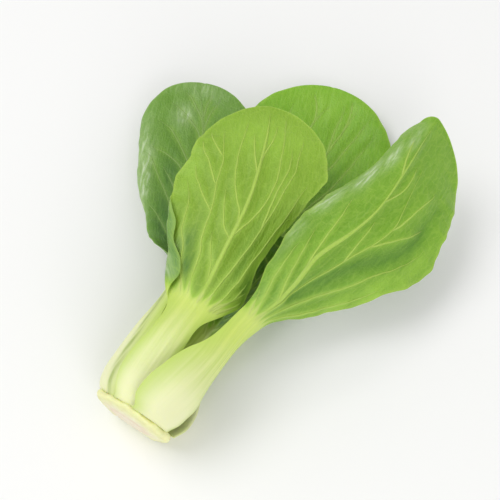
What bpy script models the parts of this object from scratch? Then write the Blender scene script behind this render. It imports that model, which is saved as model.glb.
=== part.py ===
"""A head of Shanghai bok choy, cut at the root end and lying on its side.

The stem's cut face is a disc of about 40 mm. Five outer leaves stand round it, each with a thick
cream stalk that swells into the bulb and a broad round blade, and two smaller leaves and two
folded heart leaves stand inside them. +X runs along the head from the cut to the leaf tips, +Z is
up, and the ground is z = 0. Lengths in the tables are millimetres and angles are degrees.
"""
import math

import bmesh
import bpy
import numpy as np
from mathutils import Vector

MM = 0.001

# The head as a whole
CUT_HEIGHT = 20.0          # the middle of the cut face above the ground
HEAD_TILT = 11.0           # the head rises towards its leaves by this angle
CUT_RADIUS = 19.4
HEAD_SHIFT = Vector((-102.8, -8.6, 0.0))   # puts the origin under the middle of the head

# The stem: a thin plate at the cut, and a core that steps in above each ring of leaves
PLATE_THICKNESS = 1.5
CORE_STEPS = ((1.5, 12.7), (5.4, 8.4), (10.2, 5.4), (14.0, 2.0))   # along the head, radius
STEM_SIDES = 48

# The leaves
SQUARE_LENGTH = 16.0       # a stalk begins square to the head over this length
NECK_LENGTH = 24.0         # over which a stalk turns into a blade
MARGIN_THICKNESS = 1.2     # a stalk's two thin edges
THINNING = 0.35            # share of its thickness that a stalk loses beyond the bulb,
THINNING_START = 20.0      # from here,
THINNING_LENGTH = 45.0     # over this length
BLADE_THICKNESS = 0.7
MIDRIB_HEIGHT = 2.0        # on the blade's outer side
RIB_HEIGHT = 0.45
RIB_COLUMNS = (2, 4)       # the side ribs' columns, counted from the midrib
RIB_FADE = 0.8             # share of its height that a rib loses towards the tip
WAVE_LENGTH = 41.0         # along the blade's margin
TIGHTEST_CURL = 5.0        # radius
LOWEST_BLADE = 0.02        # where a blade lies on the ground it is pressed flat
COLUMNS = 12               # cells across a leaf, an even number
ROW_LENGTH = 6.6
CAP_ROWS = 7               # rows in a blade's round end

# A stalk's bulb: distance from the cut, radius round the axis, then the half widths to the
# side of smaller and of larger azimuth, then the angles those two halves wrap
BULB = ((1.8, 18.7, 14.6, 14.6, 45, 45), (5, 20.8, 15.7, 15.7, 44, 44), (11, 22.2, 16.4, 16.4, 43, 43),
        (20, 22.2, 15.8, 15.8, 41, 41), (36, 21.4, 13.0, 13.0, 36, 36))
FRONT_BULB = ((1.8, 18.7, 7.0, 8.5, 20, 26), (5, 20.8, 8.8, 9.1, 24, 25.5), (11, 22.2, 11.2, 9.5, 29, 25),
              (20, 22.2, 11.9, 9.2, 31, 24), (36, 21.4, 9.8, 7.5, 27, 21))
LEFT_BULB = ((1.8, 18.7, 13.9, 16.5, 43, 50), (5, 20.8, 14.9, 17.5, 42, 48), (11, 22.2, 15.6, 17.5, 41, 46),
             (20, 22.2, 15, 16.5, 39, 43), (36, 21.4, 12.4, 14, 34, 38))
RIGHT_BULB = ((1.8, 19.8, 15.5, 14.0, 44, 42), (5, 22.4, 19.0, 16.5, 49, 44),
              (11, 24.4, 21.0, 18.0, 52, 46), (20, 26.0, 20.5, 17.5, 53, 45),
              (36, 24.5, 17.0, 13.5, 49, 38))
BACK_BULB = ((1.8, 18.7, 14.5, 13.5, 44, 42), (5, 20.8, 15.0, 14.6, 42, 42), (11, 22.4, 13.0, 15.2, 36, 41),
             (20, 21.8, 9.0, 14.0, 25, 38), (36, 20.5, 8.0, 11.5, 22, 32))
INNER_BULB = ((5.8, 12.0, 8.6, 8.6, 42, 42), (14, 14.8, 9.6, 9.6, 38, 38), (26, 15.2, 8.6, 8.6, 32, 32))
HEART_BULB = ((10.6, 7.8, 5.4, 5.4, 42, 42), (18, 9.2, 5.6, 5.6, 36, 36), (26, 9.4, 5.0, 5.0, 30, 30))

# Azimuths and facings turn round +X: 0 faces up, 90 faces -Y, 180 down and 270 +Y.
# drift: how far a stalk turns aside over the length of the bulb
# overlap: how far a stalk is turned, so that one of its edges lies over its neighbour's
# width: what the bulb's half widths and angles are multiplied by on the two sides
# stalk: the thickness of a stalk in its middle, and wave: the height of the margin's wave
# neck: distance from the cut to where the stalk turns into the blade
# path: x, y, z and facing of the leaf's outer side, beyond the bulb
# outline: distance from the cut, half width to the two sides, the last row being the widest
# curl: distance from the cut, angle that each half bends towards the leaf's inner side
LEAVES = {
    "leaf_front": dict(
        neck=62, bulb=FRONT_BULB, azimuth=1, drift=0, overlap=12, width=(1, 1), stalk=4.8, wave=0.8,
        path=((54, 0, 47.0, 5), (72, 1, 52.5, 5), (100, 5, 58.5, 4), (128, 15, 60.5, 3),
              (152, 27, 57, 3)),
        outline=((50, 12, 8.2), (57, 16.5, 13), (64, 20, 18.5), (71, 23, 19), (84, 30, 17.5),
                 (96, 34, 18.5), (112, 36.5, 24.5), (127, 32.5, 32)),
        curl=((56, 25, 28), (66, 16, 45), (80, 13, 50), (95, 12, 36), (115, 14, 16), (160, 12, 12))),
    "leaf_right": dict(
        neck=70, bulb=RIGHT_BULB, azimuth=50, drift=14, overlap=10, width=(1, 1), stalk=4.8, wave=1.2,
        path=((59, -25, 43.5, 62), (76, -30.5, 48, 55), (94, -35, 52, 45), (112, -39.5, 55, 40),
              (132, -43.5, 57, 38), (160, -45, 56.5, 38), (194, -43, 51, 38)),
        outline=((50, 11.5, 9.4), (60, 9.6, 9.8), (70, 9.5, 11), (84, 17, 21.5), (100, 20, 30.5),
                 (118, 20.5, 35.5), (140, 23.5, 45), (162, 18, 38.5)),
        curl=((60, 28, 28), (80, 14, 20), (100, 16, 14), (118, 50, 12), (140, 100, 12), (170, 110, 12),
              (200, 100, 12))),
    "leaf_left": dict(
        neck=67, bulb=LEFT_BULB, azimuth=-70, drift=0, overlap=9, width=(1, 1), stalk=4.6, wave=1.0,
        path=((60, 21, 32.5, -90), (73, 26, 31, -145), (92, 37, 26.5, -174), (114, 50, 21, -176),
              (137, 62, 18, -178), (157, 72, 17.5, -178), (168, 77, 18.5, -178)),
        outline=((50, 8, 11.5), (67, 7.5, 14), (82, 12, 15.5), (98, 20, 17.5), (120, 28, 23.5),
                 (140, 30, 26), (156, 28.5, 28)),
        curl=((60, 24, 24), (78, 50, 8), (92, 60, 5), (112, 40, 6), (135, 25, 8), (190, 15, 12))),
    "leaf_back": dict(
        neck=72, bulb=BACK_BULB, azimuth=140, drift=20, overlap=10, width=(1, 1), stalk=4.6, wave=1.2,
        path=((60, -9.5, 9.6, 160), (80, -12, 6.5, 172), (105, -11, 4.2, 184), (132, -4, 3.2, 187),
              (160, 5.5, 4.6, 186), (185, 14.5, 7.8, 184), (207, 22, 12, 182)),
        outline=((50, 8, 9.5), (72, 8, 8), (95, 18, 18), (120, 32, 33), (145, 38, 41), (169, 39, 42)),
        curl=((60, 25, 25), (80, 8, 14), (120, 4, 12), (200, 8, 10))),
    "leaf_under": dict(
        neck=60, bulb=BULB, azimuth=213, drift=0, overlap=10, width=(0.92, 0.92), stalk=4.6, wave=0.8,
        path=((56, 12.5, 6.3, 208), (75, 17.5, 2.9, 190), (100, 25, 1.2, 178), (127, 32, 1.6, 178)),
        outline=((48, 10, 10), (60, 9, 9), (75, 15, 14), (100, 26, 24)),
        curl=((60, 20, 20), (80, 6, 4), (140, 6, 4))),
    "leaf_inner_upper": dict(
        neck=60, bulb=INNER_BULB, azimuth=-33, drift=0, overlap=5, width=(1, 1), stalk=2.8, wave=1.6,
        path=((44, 6, 37.5, -28), (62, 8, 40, -22), (85, 11, 44, -20), (108, 17, 46.5, -18),
              (122, 22, 46, -18)),
        outline=((50, 7, 7), (60, 9, 9), (78, 18, 18), (96, 22, 22)),
        curl=((50, 30, 30), (70, 35, 35), (125, 30, 30))),
    "leaf_inner_lower": dict(
        neck=62, bulb=INNER_BULB, azimuth=175, drift=0, overlap=5, width=(1, 1), stalk=2.8, wave=1.6,
        path=((44, -2, 13.5, 170), (64, -5, 15, 160), (88, -9, 18, 155), (112, -12, 23, 152)),
        outline=((50, 7, 7), (62, 9, 9), (80, 16, 16), (94, 19, 19)),
        curl=((50, 30, 30), (70, 35, 35), (120, 30, 30))),
    "leaf_heart_large": dict(
        neck=44, bulb=HEART_BULB, azimuth=50, drift=0, overlap=0, width=(1, 1), stalk=1.8, wave=1.4,
        path=((38, -7, 31, 50), (56, -9, 33, 50), (74, -10, 34, 50)),
        outline=((34, 5, 5), (44, 9, 9), (60, 13.5, 13.5)),
        curl=((34, 40, 40), (50, 60, 60), (80, 60, 60))),
    "leaf_heart_small": dict(
        neck=44, bulb=HEART_BULB, azimuth=250, drift=0, overlap=0, width=(1, 1), stalk=1.6, wave=1.2,
        path=((38, 6, 23.5, 246), (56, 7.5, 25, 242), (70, 8, 26.5, 240)),
        outline=((34, 5, 5), (44, 8, 8), (56, 11.5, 11.5)),
        curl=((34, 40, 40), (50, 60, 60), (80, 60, 60))),
}

# Colours are linear
STALK_CREAM = (0.66, 0.74, 0.36, 1)
LEAF_GREEN = (0.20, 0.39, 0.05, 1)
DEEP_GREEN = (0.09, 0.24, 0.03, 1)
CUT_CREAM = (0.75, 0.62, 0.45, 1)


def material(name, colour, roughness):
    """A plain Principled finish."""
    finish = bpy.data.materials.new(name)
    finish.use_nodes = True
    shader = finish.node_tree.nodes["Principled BSDF"]
    shader.inputs["Base Color"].default_value = colour
    shader.inputs["Roughness"].default_value = roughness
    return finish


def through(knots, values, at):
    """A smooth curve through the values at unevenly spaced knots, read at the places in at."""
    knots, values, at = (np.asarray(a, float) for a in (knots, values, at))
    slopes = np.gradient(values, knots, axis=0)
    i = np.clip(np.searchsorted(knots, at, side="right") - 1, 0, len(knots) - 2)
    step = (knots[i + 1] - knots[i])[:, None]
    u = np.clip((at - knots[i])[:, None] / step, 0, 1)
    start, end = values[i], values[i + 1]
    return ((1 + 2 * u) * (1 - u) ** 2 * start + u * (1 - u) ** 2 * step * slopes[i]
            + u * u * (3 - 2 * u) * end - u * u * (1 - u) * step * slopes[i + 1])


def head_point(along, radius, azimuth):
    """A point of the bulb, from its distance from the cut, its radius and its azimuth."""
    tilt, turn = math.radians(HEAD_TILT), math.radians(azimuth)
    axis = np.array([math.cos(tilt), 0, math.sin(tilt)])
    up = np.array([-math.sin(tilt), 0, math.cos(tilt)])
    out = up * math.cos(turn) + np.array([0, -math.sin(turn), 0])
    return np.array([0, 0, CUT_HEIGHT]) + along * axis + radius * out


def spine(leaf):
    """The leaf's middle line, bulb first: the arc length, place and facing of closely spaced points."""
    bulb = leaf["bulb"]
    azimuths = [leaf["azimuth"] + leaf["drift"] * (row[0] / bulb[-1][0]) ** 2 for row in bulb]
    points = [head_point(row[0], row[1], azimuth) for row, azimuth in zip(bulb, azimuths)]
    facings = [azimuth + leaf["overlap"] for azimuth in azimuths]
    points += [np.array(row[:3], float) for row in leaf["path"]]
    facings += [row[3] for row in leaf["path"]]
    chords = np.linalg.norm(np.diff(points, axis=0), axis=1)
    knots = np.concatenate([[0], np.cumsum(chords)])
    rows = through(knots, np.column_stack([points, facings]), np.linspace(0, knots[-1], 500))
    arc = np.concatenate([[0], np.cumsum(np.linalg.norm(np.diff(rows[:, :3], axis=0), axis=1))])
    return arc, rows[:, :3], rows[:, 3]


def row_places(widest, length):
    """Distances of the rows along a leaf, and how far each is drawn in round the blade's end."""
    low = np.linspace(0, widest, round(widest / ROW_LENGTH), endpoint=False)
    turn = np.linspace(0, np.pi / 2, CAP_ROWS)
    places = np.concatenate([low, widest + (length - widest) * np.sin(turn)])
    return places, np.concatenate([np.ones(len(low)), np.cos(turn)])


def leaf_surfaces(leaf):
    """The leaf's outer and inner surfaces as grids of points, rows along it and columns across."""
    arc, middle, facing = spine(leaf)
    bulb = np.array(leaf["bulb"], float)
    scale = np.array([1, *leaf["width"]])
    outline = np.vstack([bulb[:, [0, 2, 3]] * scale, leaf["outline"]])
    curls = np.vstack([bulb[:, [0, 4, 5]] * scale, leaf["curl"]])
    places, drawn_in = row_places(outline[-1, 0], arc[-1])

    def read(values, at):
        return np.column_stack([np.interp(at, arc, column) for column in np.atleast_2d(values.T)])

    centre = read(middle, places)
    ahead = read(np.gradient(middle, arc, axis=0), places)
    ahead /= np.linalg.norm(ahead, axis=1)[:, None]
    square = np.clip(1 - places / SQUARE_LENGTH, 0, 1)[:, None]
    ahead = ahead * (1 - square) + (head_point(1, 0, 0) - head_point(0, 0, 0)) * square
    ahead /= np.linalg.norm(ahead, axis=1)[:, None]
    turn = np.radians(np.interp(places, arc, facing))
    out = np.column_stack([0 * turn, -np.sin(turn), np.cos(turn)])
    out -= (out * ahead).sum(1)[:, None] * ahead
    out /= np.linalg.norm(out, axis=1)[:, None]
    side = np.cross(ahead, out)
    half = through(outline[:, 0], outline[:, 1:], np.minimum(places, outline[-1, 0])) * drawn_in[:, None]
    bend = np.radians(through(curls[:, 0], curls[:, 1:], np.minimum(places, curls[-1, 0])))
    bend = np.clip(bend, 0.001, np.maximum(half / TIGHTEST_CURL, 0.001))

    # how far a place has turned from stalk into blade
    neck = leaf["neck"]
    blade = np.clip((places - neck) / NECK_LENGTH + 0.5, 0, 1)
    blade = blade * blade * (3 - 2 * blade)
    towards_tip = np.clip((places - neck) / (arc[-1] - neck), 0, 1)
    outer, inner = [], []
    for column in range(COLUMNS + 1):
        v = 2 * column / COLUMNS - 1
        pick = 0 if v < 0 else 1
        angle = bend[:, pick] * abs(v)
        radius = half[:, pick] / bend[:, pick]
        wave = leaf["wave"] * blade * drawn_in * abs(v) ** 3
        wave = wave * np.sin(2 * np.pi * places / WAVE_LENGTH + 2 * pick)
        rib_place = abs(column - COLUMNS // 2)
        rib = MIDRIB_HEIGHT if rib_place == 0 else RIB_HEIGHT if rib_place in RIB_COLUMNS else 0.0
        rib = rib * blade * (1 - RIB_FADE * towards_tip) * np.sqrt(drawn_in)
        base = (centre + side * (np.sign(v) * radius * np.sin(angle))[:, None]
                + out * (radius * (np.cos(angle) - 1) + wave)[:, None])
        normal = out * np.cos(angle)[:, None] + side * (np.sign(v) * np.sin(angle))[:, None]
        stalk = MARGIN_THICKNESS + (leaf["stalk"] - MARGIN_THICKNESS) * (1 - v * v) ** 0.8
        stalk = stalk * (1 - THINNING * np.clip((places - THINNING_START) / THINNING_LENGTH, 0, 1))
        thick = BLADE_THICKNESS * blade + stalk * (1 - blade)
        outer_line, inner_line = base + normal * rib[:, None], base - normal * thick[:, None]
        lift = np.maximum(LOWEST_BLADE - outer_line[:, 2], 0) * (blade > 0.5)
        outer_line[:, 2] += lift
        inner_line[:, 2] += lift
        outer.append(outer_line)
        inner.append(inner_line)
    return np.stack(outer, 1), np.stack(inner, 1)


def as_object(name, mesh_data, finish):
    """A bmesh made into a smooth shaded object at its place."""
    mesh = bpy.data.meshes.new(name)
    mesh_data.to_mesh(mesh)
    mesh_data.free()
    mesh.materials.append(finish)
    mesh.shade_smooth()
    mesh.set_sharp_from_angle(angle=math.radians(40))
    piece = bpy.data.objects.new(name, mesh)
    bpy.context.scene.collection.objects.link(piece)
    return piece


def make_leaf(name, leaf, finish):
    """A grid laid on the outer surface, split into triangles, and extruded to the inner surface."""
    outer, inner = leaf_surfaces(leaf)
    rows, columns = outer.shape[:2]
    work = bmesh.new()
    bmesh.ops.create_grid(work, x_segments=rows - 1, y_segments=columns - 1, size=0.5)
    row_of = work.verts.layers.int.new("row")
    column_of = work.verts.layers.int.new("column")
    for vert in work.verts:
        vert[row_of] = round((vert.co.x + 0.5) * (rows - 1))
        vert[column_of] = round((vert.co.y + 0.5) * (columns - 1))
        vert.co = outer[vert[row_of], vert[column_of]]
    tip = [v for v in work.verts if v[row_of] == rows - 1]
    bmesh.ops.pointmerge(work, verts=tip, merge_co=tip[0].co)
    bmesh.ops.triangulate(work, faces=work.faces[:], quad_method="FIXED")
    raised = bmesh.ops.extrude_face_region(work, geom=work.faces[:])
    for vert in (g for g in raised["geom"] if isinstance(g, bmesh.types.BMVert)):
        vert.co = inner[vert[row_of], vert[column_of]]
    for vert in work.verts:
        vert.co = (vert.co + HEAD_SHIFT) * MM
    bmesh.ops.recalc_face_normals(work, faces=work.faces[:])
    below = bmesh.ops.bisect_plane(work, geom=work.verts[:] + work.edges[:] + work.faces[:],
                                   plane_co=(0, 0, 0), plane_no=(0, 0, 1), clear_inner=True)
    rim = [g for g in below["geom_cut"] if isinstance(g, bmesh.types.BMEdge)]
    if rim:
        bmesh.ops.holes_fill(work, edges=rim, sides=0)
    bmesh.ops.triangulate(work, faces=[f for f in work.faces if len(f.verts) > 3])
    return as_object(name, work, finish)


def make_stem(finish):
    """The plate and the stepped core, turned from one profile."""
    profile = [(0, 0), (0, CUT_RADIUS - 0.3), (0.4, CUT_RADIUS), (PLATE_THICKNESS - 0.4, CUT_RADIUS),
               (PLATE_THICKNESS, CUT_RADIUS - 0.5)]
    for (along, radius), (next_along, _) in zip(CORE_STEPS, CORE_STEPS[1:]):
        profile += [(along, radius), (next_along, radius - 0.2)]
    profile += [CORE_STEPS[-1], (CORE_STEPS[-1][0], 0)]
    work = bmesh.new()
    verts = [work.verts.new(head_point(along, radius, 0)) for along, radius in profile]
    edges = [work.edges.new(pair) for pair in zip(verts, verts[1:])]
    axis = head_point(1, 0, 0) - head_point(0, 0, 0)
    bmesh.ops.spin(work, geom=verts + edges, cent=head_point(0, 0, 0), axis=axis,
                   angle=2 * math.pi, steps=STEM_SIDES, use_merge=True)
    bmesh.ops.remove_doubles(work, verts=work.verts[:], dist=0.001)
    for vert in work.verts:
        vert.co = (vert.co + HEAD_SHIFT) * MM
    bmesh.ops.recalc_face_normals(work, faces=work.faces[:])
    return as_object("stem", work, finish)


def build():
    for old in list(bpy.data.objects):
        bpy.data.objects.remove(old)
    make_stem(material("cut_stem", CUT_CREAM, 0.5))
    pale = material("outer_leaf", LEAF_GREEN, 0.4)
    deep = material("dark_leaf", DEEP_GREEN, 0.35)
    young = material("inner_leaf", STALK_CREAM, 0.4)
    finishes = {"leaf_front": pale, "leaf_right": pale, "leaf_under": pale,
                "leaf_left": deep, "leaf_back": deep}
    for name, leaf in LEAVES.items():
        make_leaf(name, leaf, finishes.get(name, young))


build()
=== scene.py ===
# %% [markdown]
# # A head of Shanghai bok choy
# The head lies on its side on a pale ground. Its thick stalks stand round a short stem and swell into
# a bulb, and each opens into a broad round blade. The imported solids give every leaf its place. This
# lesson lays a finer skin over each of them, with veins, pleats, a thin waved margin and a finish
# that changes from cream stalk to green blade.

# %% Load the solids
import math

import bmesh
import bpy
import numpy as np
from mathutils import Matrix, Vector


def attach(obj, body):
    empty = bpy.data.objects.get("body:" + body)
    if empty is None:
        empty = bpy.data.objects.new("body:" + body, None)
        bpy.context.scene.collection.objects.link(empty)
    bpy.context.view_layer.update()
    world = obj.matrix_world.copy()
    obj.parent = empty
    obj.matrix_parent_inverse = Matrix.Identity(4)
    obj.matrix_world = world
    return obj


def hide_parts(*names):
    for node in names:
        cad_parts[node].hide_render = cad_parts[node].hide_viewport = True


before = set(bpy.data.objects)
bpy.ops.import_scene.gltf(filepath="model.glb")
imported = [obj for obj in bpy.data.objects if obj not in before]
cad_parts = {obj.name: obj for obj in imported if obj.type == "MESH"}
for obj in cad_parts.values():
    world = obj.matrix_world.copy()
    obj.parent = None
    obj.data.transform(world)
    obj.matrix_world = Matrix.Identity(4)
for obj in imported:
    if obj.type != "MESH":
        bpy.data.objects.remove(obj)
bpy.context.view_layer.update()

MM = 0.001
print("solids:", sorted(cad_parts))

# %% [markdown]
# ## The camera
# The head is seen from well above, from beside its root end, so that the leaves fan out towards the
# upper right. A long lens from about half a metre keeps the far leaves nearly as large as the near
# ones. The camera could be aimed with a constraint, but a place and a quaternion are enough, and the
# lamps are turned in the same way.

# %% Place the camera
VIEW_ELEVATION = 62.0
VIEW_TURN = 56.5                       # from straight across the head towards its root end
VIEW_TARGET = Vector((-3.94, -5.83, 20.0)) * MM
VIEW_DISTANCE = 566.7 * MM
LENS_LENGTH = 85
SENSOR_WIDTH = 36


def add_object(name, data):
    made = bpy.data.objects.new(name, data)
    bpy.context.scene.collection.objects.link(made)
    return made


def aim(thing, place, direction):
    thing.location = place
    thing.rotation_mode = "QUATERNION"
    thing.rotation_quaternion = direction.to_track_quat("-Z", "Y")


high = math.radians(VIEW_ELEVATION)
turn = math.radians(VIEW_TURN)
sight = Vector((math.cos(high) * math.sin(turn), math.cos(high) * math.cos(turn), -math.sin(high)))
camera_data = bpy.data.cameras.new("camera")
camera_data.lens = LENS_LENGTH
camera_data.sensor_width = SENSOR_WIDTH
camera = add_object("camera", camera_data)
aim(camera, VIEW_TARGET - sight * VIEW_DISTANCE, sight)
bpy.context.scene.camera = camera
print("camera at", [round(c / MM) for c in camera.location], "mm")

# %% [markdown]
# ## The floor
# Produce is often shown on plain white. One large pale square does for that, and a little roughness
# keeps it from mirroring the leaves.

# %% Make the floor
FLOOR_REACH = 4.0
FLOOR_COLOUR = (0.93, 0.93, 0.925)
FLOOR_ROUGHNESS = 0.6


def new_finish(name, plain):
    """A material with its node tree and shader, and what is the same all over it set on the shader."""
    finish = bpy.data.materials.new(name)
    finish.use_nodes = True
    shader = finish.node_tree.nodes["Principled BSDF"]
    for socket, value in plain.items():
        shader.inputs[socket].default_value = value
    return finish, finish.node_tree, shader


work = bmesh.new()
bmesh.ops.create_grid(work, x_segments=1, y_segments=1, size=FLOOR_REACH)
floor_mesh = bpy.data.meshes.new("floor")
work.to_mesh(floor_mesh)
work.free()
floor_finish = new_finish("pale_floor", {"Base Color": (*FLOOR_COLOUR, 1), "Roughness": FLOOR_ROUGHNESS})[0]
floor_mesh.materials.append(floor_finish)
add_object("floor", floor_mesh)
print("floor:", 2 * FLOOR_REACH, "m across")

# %% [markdown]
# ## The light
# On such a ground there is so much soft light that only a faint shadow is left. A bright even surround
# gives that. One broad lamp above and behind the leaves makes the sheen on the folds and shows the
# veins, and a second one softens the near side.

# %% Light the head
SURROUND_COLOUR = (1.0, 1.0, 0.99)
SURROUND_STRENGTH = 0.62
LAMPS = {"key": ((-0.35, 1.3, 2.4), 1.8, 27.0),          # place and width in metres, power
         "fill": ((-1.2, -1.3, 1.2), 1.4, 12.0)}

world = bpy.data.worlds.new("surround")
world.use_nodes = True
sky = world.node_tree.nodes["Background"]
sky.inputs["Color"].default_value = (*SURROUND_COLOUR, 1)
sky.inputs["Strength"].default_value = SURROUND_STRENGTH
bpy.context.scene.world = world
bpy.context.scene.view_settings.view_transform = "Standard"
for lamp_name, (place, width, power) in LAMPS.items():
    lamp = bpy.data.lights.new(lamp_name, "AREA")
    lamp.shape = "DISK"
    lamp.size = width
    lamp.energy = power
    aim(add_object(lamp_name, lamp), place, VIEW_TARGET - Vector(place))

# %% [markdown]
# ## The leaves' measurements
# Every leaf follows a middle line, first up the bulb and then out to its tip. The numbers are the ones
# the solids were made from, in millimetres and degrees, measured from the cut. Azimuths turn round the
# head: 0 faces up, 90 faces -Y, 180 down and 270 +Y.

# %% Write down the bulb
CUT_HEIGHT = 20.0
HEAD_TILT = 11.0
CUT_RADIUS = 19.4
HEAD_SHIFT = np.array([-102.8, -8.6, 0.0])

# each row: along the head, away from its axis, the widths to both sides and the bends to both sides
BULB = ((1.8, 18.7, 14.6, 14.6, 45, 45), (5, 20.8, 15.7, 15.7, 44, 44), (11, 22.2, 16.4, 16.4, 43, 43),
        (20, 22.2, 15.8, 15.8, 41, 41), (36, 21.4, 13.0, 13.0, 36, 36))
FRONT_BULB = ((1.8, 18.7, 7.0, 8.5, 20, 26), (5, 20.8, 8.8, 9.1, 24, 25.5), (11, 22.2, 11.2, 9.5, 29, 25),
              (20, 22.2, 11.9, 9.2, 31, 24), (36, 21.4, 9.8, 7.5, 27, 21))
LEFT_BULB = ((1.8, 18.7, 13.9, 16.5, 43, 50), (5, 20.8, 14.9, 17.5, 42, 48), (11, 22.2, 15.6, 17.5, 41, 46),
             (20, 22.2, 15, 16.5, 39, 43), (36, 21.4, 12.4, 14, 34, 38))
RIGHT_BULB = ((1.8, 19.8, 15.5, 14.0, 44, 42), (5, 22.4, 19.0, 16.5, 49, 44),
              (11, 24.4, 21.0, 18.0, 52, 46), (20, 26.0, 20.5, 17.5, 53, 45),
              (36, 24.5, 17.0, 13.5, 49, 38))
BACK_BULB = ((1.8, 18.7, 14.5, 13.5, 44, 42), (5, 20.8, 15.0, 14.6, 42, 42), (11, 22.4, 13.0, 15.2, 36, 41),
             (20, 21.8, 9.0, 14.0, 25, 38), (36, 20.5, 8.0, 11.5, 22, 32))
INNER_BULB = ((5.8, 12.0, 8.6, 8.6, 42, 42), (14, 14.8, 9.6, 9.6, 38, 38), (26, 15.2, 8.6, 8.6, 32, 32))
HEART_BULB = ((10.6, 7.8, 5.4, 5.4, 42, 42), (18, 9.2, 5.6, 5.6, 36, 36), (26, 9.4, 5.0, 5.0, 30, 30))
print("the bulb is widest", max(row[1] for row in BULB), "mm from its axis")

# %% [markdown]
# ## The leaves' tables
# The path holds places of the middle line beyond the bulb, with the azimuth that the back faces there.
# The outline holds the widths to both sides, and the curl how far each side bends round. The neck is
# where the stalk turns into the blade.

# %% Write down each leaf
LEAVES = {
    "leaf_front": dict(
        neck=62, bulb=FRONT_BULB, azimuth=1, overlap=12, stalk=4.8, wave=0.8,
        path=((54, 0, 47.0, 5), (72, 1, 52.5, 5), (100, 5, 58.5, 4), (128, 15, 60.5, 3),
              (152, 27, 57, 3)),
        outline=((50, 12, 8.2), (57, 16.5, 13), (64, 20, 18.5), (71, 23, 19), (84, 30, 17.5),
                 (96, 34, 18.5), (112, 36.5, 24.5), (127, 32.5, 32)),
        curl=((56, 25, 28), (66, 16, 45), (80, 13, 50), (95, 12, 36), (115, 14, 16), (160, 12, 12))),
    "leaf_right": dict(
        neck=70, bulb=RIGHT_BULB, azimuth=50, drift=14, overlap=10, stalk=4.8, wave=1.2,
        path=((59, -25, 43.5, 62), (76, -30.5, 48, 55), (94, -35, 52, 45), (112, -39.5, 55, 40),
              (132, -43.5, 57, 38), (160, -45, 56.5, 38), (194, -43, 51, 38)),
        outline=((50, 11.5, 9.4), (60, 9.6, 9.8), (70, 9.5, 11), (84, 17, 21.5), (100, 20, 30.5),
                 (118, 20.5, 35.5), (140, 23.5, 45), (162, 18, 38.5)),
        curl=((60, 28, 28), (80, 14, 20), (100, 16, 14), (118, 50, 12), (140, 100, 12), (170, 110, 12),
              (200, 100, 12))),
    "leaf_left": dict(
        neck=67, bulb=LEFT_BULB, azimuth=-70, overlap=9, stalk=4.6, wave=1.0,
        path=((60, 21, 32.5, -90), (73, 26, 31, -145), (92, 37, 26.5, -174), (114, 50, 21, -176),
              (137, 62, 18, -178), (157, 72, 17.5, -178), (168, 77, 18.5, -178)),
        outline=((50, 8, 11.5), (67, 7.5, 14), (82, 12, 15.5), (98, 20, 17.5), (120, 28, 23.5),
                 (140, 30, 26), (156, 28.5, 28)),
        curl=((60, 24, 24), (78, 50, 8), (92, 60, 5), (112, 40, 6), (135, 25, 8), (190, 15, 12))),
    "leaf_back": dict(
        neck=72, bulb=BACK_BULB, azimuth=140, drift=20, overlap=10, stalk=4.6, wave=1.2,
        path=((60, -9.5, 9.6, 160), (80, -12, 6.5, 172), (105, -11, 4.2, 184), (132, -4, 3.2, 187),
              (160, 5.5, 4.6, 186), (185, 14.5, 7.8, 184), (207, 22, 12, 182)),
        outline=((50, 8, 9.5), (72, 8, 8), (95, 18, 18), (120, 32, 33), (145, 38, 41), (169, 39, 42)),
        curl=((60, 25, 25), (80, 8, 14), (120, 4, 12), (200, 8, 10))),
    "leaf_under": dict(
        neck=60, bulb=BULB, azimuth=213, overlap=10, width=(0.92, 0.92), stalk=4.6, wave=0.8,
        path=((56, 12.5, 6.3, 208), (75, 17.5, 2.9, 190), (100, 25, 1.2, 178), (127, 32, 1.6, 178)),
        outline=((48, 10, 10), (60, 9, 9), (75, 15, 14), (100, 26, 24)),
        curl=((60, 20, 20), (80, 6, 4), (140, 6, 4))),
    "leaf_inner_upper": dict(
        neck=60, bulb=INNER_BULB, azimuth=-33, overlap=5, stalk=2.8, wave=1.6,
        path=((44, 6, 37.5, -28), (62, 8, 40, -22), (85, 11, 44, -20), (108, 17, 46.5, -18),
              (122, 22, 46, -18)),
        outline=((50, 7, 7), (60, 9, 9), (78, 18, 18), (96, 22, 22)),
        curl=((50, 30, 30), (70, 35, 35), (125, 30, 30))),
    "leaf_inner_lower": dict(
        neck=62, bulb=INNER_BULB, azimuth=175, overlap=5, stalk=2.8, wave=1.6,
        path=((44, -2, 13.5, 170), (64, -5, 15, 160), (88, -9, 18, 155), (112, -12, 23, 152)),
        outline=((50, 7, 7), (62, 9, 9), (80, 16, 16), (94, 19, 19)),
        curl=((50, 30, 30), (70, 35, 35), (120, 30, 30))),
    "leaf_heart_large": dict(
        neck=44, bulb=HEART_BULB, azimuth=50, overlap=0, stalk=1.8, wave=1.4,
        path=((38, -7, 31, 50), (56, -9, 33, 50), (74, -10, 34, 50)),
        outline=((34, 5, 5), (44, 9, 9), (60, 13.5, 13.5)),
        curl=((34, 40, 40), (50, 60, 60), (80, 60, 60))),
    "leaf_heart_small": dict(
        neck=44, bulb=HEART_BULB, azimuth=250, overlap=0, stalk=1.6, wave=1.2,
        path=((38, 6, 23.5, 246), (56, 7.5, 25, 242), (70, 8, 26.5, 240)),
        outline=((34, 5, 5), (44, 8, 8), (56, 11.5, 11.5)),
        curl=((34, 40, 40), (50, 60, 60), (80, 60, 60))),
}
for leaf in LEAVES.values():
    leaf.setdefault("drift", 0)
    leaf.setdefault("width", (1, 1))
print(len(LEAVES), "leaves")

# %% [markdown]
# ## The middle line
# A leaf grows along a smooth line. A curve object could carry it, but the veins and the finish need to
# know how far along and how far across each point is, so the line is worked out once and kept.

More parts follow.
